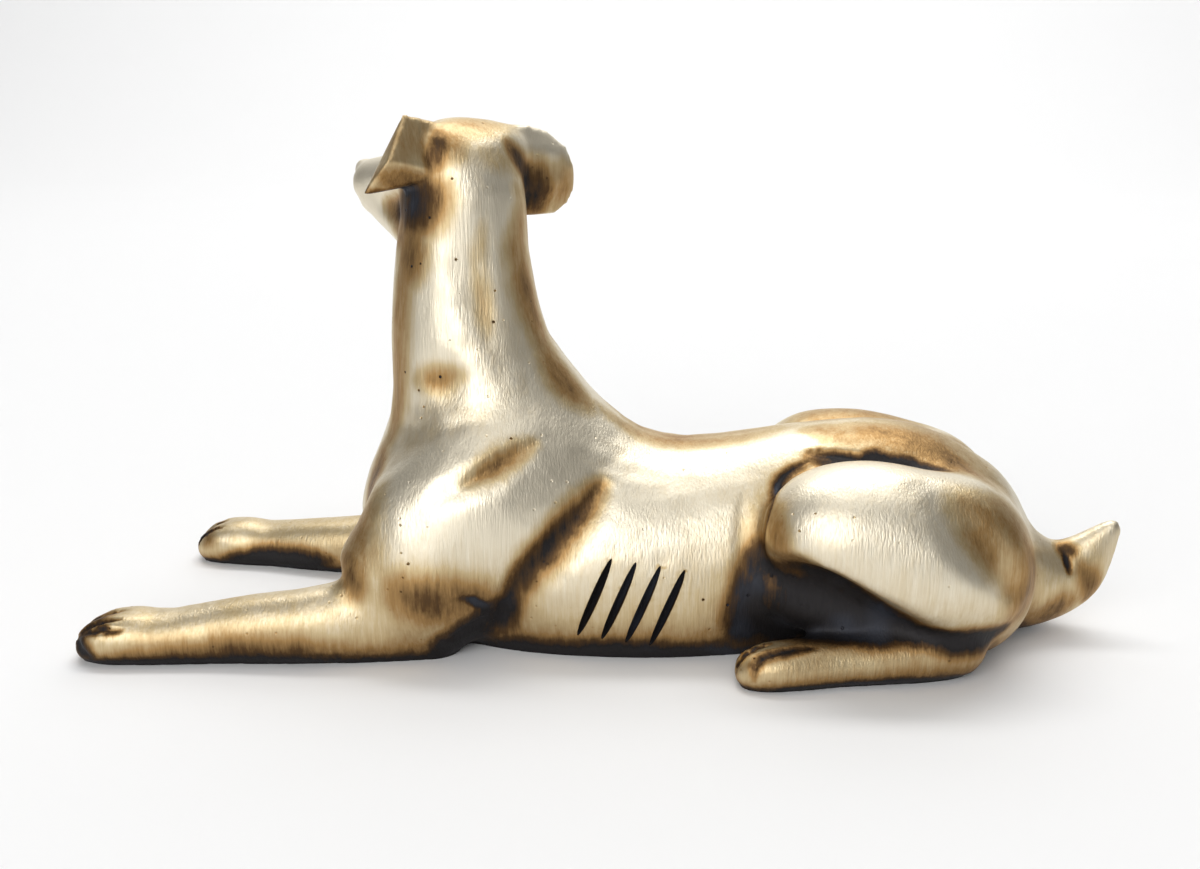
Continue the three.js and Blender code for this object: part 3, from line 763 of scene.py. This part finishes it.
class HOUND_OT_patinate(bpy.types.Operator):
    """Thins the skin and gives it the brushed, patinated brass finish with painted shade next to the ground,
    under the ears and jaw and along edges that turn away
    """

    bl_idname = "hound.patinate"
    bl_label = "Patinate"

    def execute(self, context):
        body = bpy.data.objects["brass_dog"]
        budget = context.scene.hound_body.triangles
        apply_modifier(body, "TRIANGULATE")
        faces = len(body.data.polygons)
        if faces > budget:
            apply_modifier(body, "DECIMATE", ratio=budget / faces)
        take_up(body)
        bpy.ops.object.shade_smooth_by_angle(angle=SMOOTH_BELOW)
        points, normals, tree = points_of(body), normals_of(body), skin_tree(body)
        solid = self.filled_cells(tree)
        # Patina in crevices and hollows, with painted contact shade next to the ground.
        for name, (lift, radius, start, rise) in GATHERING.items():
            fullness = self.fullness(points + normals * lift * MM, solid, radius * MM)
            self.keep(body, name, np.clip((fullness - start) / rise, 0, 1))
        strokes = [(places, PATCH_SPREAD * radius, strength) for places, radius, strength in self.patches()]
        strokes += [
            (places, MARK_SPREAD * radius, MARK_DARKNESS)
            for places, radius, sink in all_marks()
            if radius < NARROW_MARK
        ]
        # Patina and painted shade from the patches, the narrow marks and the slit walls.
        smudge = self.inside_slits(context.scene.hound_slits, points)
        for places, radius, strength in strokes:
            smudge = np.maximum(smudge, strength * brush(points, tree, places, radius * MM, PATCH_END))
        self.keep(body, "smudge", smudge)
        body.data.materials.append(self.brass(context.scene.hound_finish))
        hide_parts("dog")
        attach(body, "root")
        return {"FINISHED"}

    def patches(self):
        """Every patch of patina and of painted shade on the statue, with its radius and strength."""
        both_sides = [(mirrored(places), radius, strength) for places, radius, strength in PATINA_AND_SHADE_PATCHES]
        return PATINA_AND_SHADE_PATCHES + both_sides + LONE_PATINA_AND_SHADE_PATCHES

    def inside_slits(self, slits, points):
        """1 on the walls of the slits, fading to 0 at their mouths."""
        inside = np.zeros(len(points))
        for side, number in slit_numbers(slits):
            for k in np.flatnonzero(in_slit(points, slits, side, number, slits.width / 2)):
                gap = BENCH["flank"].find_nearest(Vector(points[k]))[3]
                inside[k] = min(gap / SLIT_SHADE, 1)
        return inside

    def keep(self, body, name, values):
        layer = body.data.attributes.new(name, "FLOAT", "POINT")
        layer.data.foreach_set("value", values.astype(np.float32))

    def fullness(self, places, solid, radius):
        """Share of metal or ground within a soft ball of that radius round each place."""
        shape = solid.shape
        spectrum = np.fft.rfftn(solid)
        for axis, count in enumerate(shape):
            rates = np.fft.rfftfreq(count) if axis == 2 else np.fft.fftfreq(count)
            fade = np.exp(-2 * (np.pi * rates * radius / CELL) ** 2)
            spectrum *= fade.reshape([-1 if k == axis else 1 for k in range(3)])
        soft = np.fft.irfftn(spectrum, shape)
        at = (places - ROOM_LOW) / CELL - 0.5
        base = np.clip(np.floor(at).astype(int), 0, np.array(shape) - 2)
        part = at - base
        total = np.zeros(len(places))
        for corner in range(8):
            step = np.array([corner & 1, (corner >> 1) & 1, (corner >> 2) & 1])
            weight = np.prod(np.where(step, part, 1 - part), axis=1)
            cells = base + step
            total += weight * soft[cells[:, 0], cells[:, 1], cells[:, 2]]
        return total

    def filled_cells(self, tree):
        """1 in the cells of the space round the statue that hold metal or ground."""
        solid = np.zeros(tuple(ROOM_COUNTS), np.float32)
        lines = [low + (np.arange(count) + 0.5) * CELL for low, count in zip(ROOM_LOW, ROOM_COUNTS)]
        heights = lines[2]
        solid[:, :, heights < 0] = 1
        for i, x in enumerate(lines[0]):
            for j, y in enumerate(lines[1]):
                crossings = self.crossings_below(tree, x, y)
                for high, bottom in zip(crossings[::2], crossings[1::2]):
                    solid[i, j, (heights < high) & (heights > bottom)] = 1
        return solid

    def crossings_below(self, tree, x, y):
        """Heights at which a plumb line passes in and out of the metal."""
        heights = []
        top = CAST_HIGH.z + OVERHEAD
        while True:
            hit = tree.ray_cast(Vector((x, y, top)), Vector((0, 0, -1)))[0]
            if hit is None:
                return heights
            heights.append(hit.z)
            top = hit.z - PAST_SKIN

    def brass(self, finish):
        """Brushed brass, pale where it was sanded and dark where the patina was left, with painted shade
        darker towards the bottom, next to the ground, under the ears and jaw and along edges that turn away.
        """
        shader = Shader("antique_brass")
        place = shader.place()
        height = shader.node("ShaderNodeSeparateXYZ", {}, [place], "Z")
        cloud = shader.noise(place, 60.0, 6.0, 0.62)
        tint = shader.noise(place, 22.0, 3.0, 0.5)
        wisps = shader.noise(shader.scaled(place, (420.0, 420.0, 70.0)), 1.0, 4.0, 0.65)
        lines = shader.noise(shader.scaled(place, (1700.0, 1100.0, 70.0)), 1.0, 2.0, 0.6)
        cavity = shader.attribute("cavity")
        recess = shader.attribute("recess")
        smudge = shader.attribute("smudge")
        pits = self.pits(shader, place)
        # Painted shade: the metal is painted darker towards the bottom, over the lowest 42 mm.
        low = 1 - height.ramp(0.002, 0.042)
        # How dark each point is: patina in crevices and hollows, the patches of patina and painted shade,
        # and the painted shade low down.
        dark = cavity * 0.26 + recess * 0.45 + smudge * 0.78 + low * 0.2
        uneven = (cloud - 0.5) * 0.75 + (wisps - 0.5) * 0.75
        worn = (tint - 0.42) * 0.22 + (lines - 0.5) * 0.12
        # This value holds patina and painted shade together and picks the colour below.
        patina = (dark + worn + uneven * (0.16 + dark * 0.7) + pits * 0.6).clamp()
        stops = [
            (0.02, tuple(finish.bright)),
            (0.2, tuple(finish.gold)),
            (0.4, tuple(finish.orange)),
            (0.6, tuple(finish.brown)),
            (0.84, tuple(finish.black)),
        ]
        colour = shader.node("ShaderNodeValToRGB", {"stops": stops}, [patina])
        slate = patina.ramp(0.6, 0.95) * shader.noise(place, 38.0, 2.0).ramp(0.54, 0.7)
        colour = shader.mix(slate * 0.5, colour, tuple(finish.slate))
        shader.feed("Base Color", colour)
        shader.feed("Metallic", 1 - patina.ramp(0.6, 1.0) * 0.5)
        shader.feed("Roughness", 0.43 + patina * 0.14 + (lines - 0.5) * 0.16)
        relief = (lines - 0.5) * finish.line_depth * 2 + (cloud - 0.5) * 0.00014 - pits * finish.pit_depth
        values = {"Strength": 1.0, "Distance": 1.0, "Height": relief}
        shader.feed("Normal", shader.node("ShaderNodeBump", {}, values, "Normal"))
        return shader.material

    def pits(self, shader, place):
        """Small round pits left by the sand mould, some alone and some in clusters."""
        values = {"Vector": place, "Scale": 190.0, "Randomness": 1.0}
        gap = shader.node("ShaderNodeTexVoronoi", {"feature": "F1"}, values, "Distance")
        cluster = shader.noise(place, 30.0, 2.0).ramp(0.56, 0.7)
        return (1 - gap.ramp(0.03, 0.10)) * (cluster * 0.85 + 0.15)


# The floor's width, its front edge, the wall behind it and the bend between.
FLOOR_WIDTH = 9
FLOOR_FRONT = -2.4
WALL_AT = 2.6
WALL_HEIGHT = 4
WALL_BEND = 1.2

# Each lamp's place, aim, size and share of the key light's power.
LAMPS = {
    "key_light": ((-0.5, -1.8, 1.0), (0, 0, 0.05), (1.9, 1.4), 1),
    "top_light": ((0.2, 0.1, 2.0), (0, 0, 0), (2.2, 1.6), 0.5),
    "wall_light": ((0, 1.2, 3.2), (0, 2.6, 0.9), (4, 1), 3),
}

# The camera's place, its turn round from the side and its tilt downwards.
CAMERA_PLACE = Vector((26.53, -342.95, 158.0)) * MM
CAMERA_TURN = math.radians(5.037)
CAMERA_TILT = math.radians(16.322)


class HOUND_OT_set_stage(bpy.types.Operator):
    """Lays the pale floor and sets the soft lights and the camera"""

    bl_idname = "hound.set_stage"
    bl_label = "Set Stage"

    def execute(self, context):
        settings = context.scene.hound_stage
        deselect_all()
        self.lay_floor(settings)
        self.hang_lights(context, settings)
        self.place_camera(context, settings)
        context.scene.view_settings.view_transform = "Standard"
        return {"FINISHED"}

    def lay_floor(self, settings):
        """A floor that turns up into a plain wall far behind the statue."""
        bpy.ops.mesh.primitive_plane_add(size=1, location=(0, 0, 0))
        floor = bpy.context.active_object
        floor.name = "floor"
        points = points_of(floor)
        points[:, 0] *= FLOOR_WIDTH
        points[:, 1] = np.where(points[:, 1] > 0, WALL_AT, FLOOR_FRONT)
        put_points(floor, points)
        bpy.ops.object.mode_set(mode="EDIT")
        bpy.ops.mesh.select_mode(type="EDGE")
        bpy.ops.mesh.select_all(action="DESELECT")
        shape = bmesh.from_edit_mesh(floor.data)
        for edge in shape.edges:
            edge.select_set(all(corner.co.y > 0 for corner in edge.verts))
        bmesh.update_edit_mesh(floor.data)
        bpy.ops.mesh.extrude_region_move(TRANSFORM_OT_translate={"value": (0, 0, WALL_HEIGHT)})
        bpy.ops.object.mode_set(mode="OBJECT")
        apply_modifier(floor, "BEVEL", width=WALL_BEND, segments=16, limit_method="ANGLE")
        bpy.ops.object.shade_smooth()
        shader = Shader("pale_floor")
        tone = shader.noise(shader.place(), 6.0, 3.0)
        pale = tuple(settings.floor_colour)
        shader.feed("Base Color", shader.mix(tone * 0.2, pale, tuple(0.96 * value for value in pale)))
        shader.feed("Roughness", 0.75 + (tone - 0.5) * 0.1)
        floor.data.materials.append(shader.material)

    def hang_lights(self, context, settings):
        world = bpy.data.worlds.new("studio_air")
        world.use_nodes = True
        background = world.node_tree.nodes["Background"]
        background.inputs["Color"].default_value = (1, 1, 1, 1)
        background.inputs["Strength"].default_value = settings.surround
        context.scene.world = world
        for name, (place, aim, size, share) in LAMPS.items():
            bpy.ops.object.light_add(type="AREA", location=place)
            lamp = bpy.context.active_object
            lamp.name = name
            lamp.data.shape = "RECTANGLE"
            lamp.data.size, lamp.data.size_y = size
            lamp.data.energy = settings.key_power * share
            lamp.rotation_euler = (Vector(aim) - Vector(place)).to_track_quat("-Z", "Y").to_euler()

    def place_camera(self, context, settings):
        level, fall = math.cos(CAMERA_TILT), math.sin(CAMERA_TILT)
        forward = Vector((-math.sin(CAMERA_TURN) * level, math.cos(CAMERA_TURN) * level, -fall))
        right = Vector((math.cos(CAMERA_TURN), math.sin(CAMERA_TURN), 0))
        up = right.cross(forward)
        camera_data = bpy.data.cameras.new("camera")
        camera_data.sensor_width = 36
        camera_data.lens = settings.lens
        camera_data.clip_start = 0.01
        camera = bpy.data.objects.new("camera", camera_data)
        context.scene.collection.objects.link(camera)
        turn = Matrix((right, up, -forward)).transposed().to_4x4()
        camera.matrix_world = Matrix.Translation(CAMERA_PLACE) @ turn
        context.scene.camera = camera


class HOUND_PT_finishing(bpy.types.Panel):
    """Lists the sizes, colours and steps of the brass hound"""

    bl_idname = "HOUND_PT_finishing"
    bl_label = "Brass Hound"
    bl_space_type = "VIEW_3D"
    bl_region_type = "UI"
    bl_category = "Brass Hound"

    def draw(self, context):
        for group, names in PANEL_ROWS:
            box = self.layout.box()
            settings = getattr(context.scene, group)
            for name in settings.__annotations__:
                box.prop(settings, name)
            for name in names:
                box.operator(name)


PANEL_ROWS = [
    ("hound_body", ["hound.cast_body", "hound.carve_relief"]),
    ("hound_slits", ["hound.file_slits"]),
    ("hound_finish", ["hound.patinate"]),
    ("hound_stage", ["hound.set_stage"]),
]

SETTINGS = {
    "hound_body": BodySettings,
    "hound_slits": SlitSettings,
    "hound_finish": FinishSettings,
    "hound_stage": StageSettings,
}

CLASSES = [
    *SETTINGS.values(),
    HOUND_OT_cast_body,
    HOUND_OT_carve_relief,
    HOUND_OT_file_slits,
    HOUND_OT_patinate,
    HOUND_OT_set_stage,
    HOUND_PT_finishing,
]


def register():
    for kind in CLASSES:
        bpy.utils.register_class(kind)
    for name, kind in SETTINGS.items():
        setattr(bpy.types.Scene, name, bpy.props.PointerProperty(type=kind))


def unregister():
    for name in SETTINGS:
        delattr(bpy.types.Scene, name)
    for kind in reversed(CLASSES):
        bpy.utils.unregister_class(kind)


def main():
    register()
    bpy.ops.hound.cast_body()
    bpy.ops.hound.carve_relief()
    bpy.ops.hound.file_slits()
    bpy.ops.hound.patinate()
    bpy.ops.hound.set_stage()


if __name__ == "__main__":
    main()
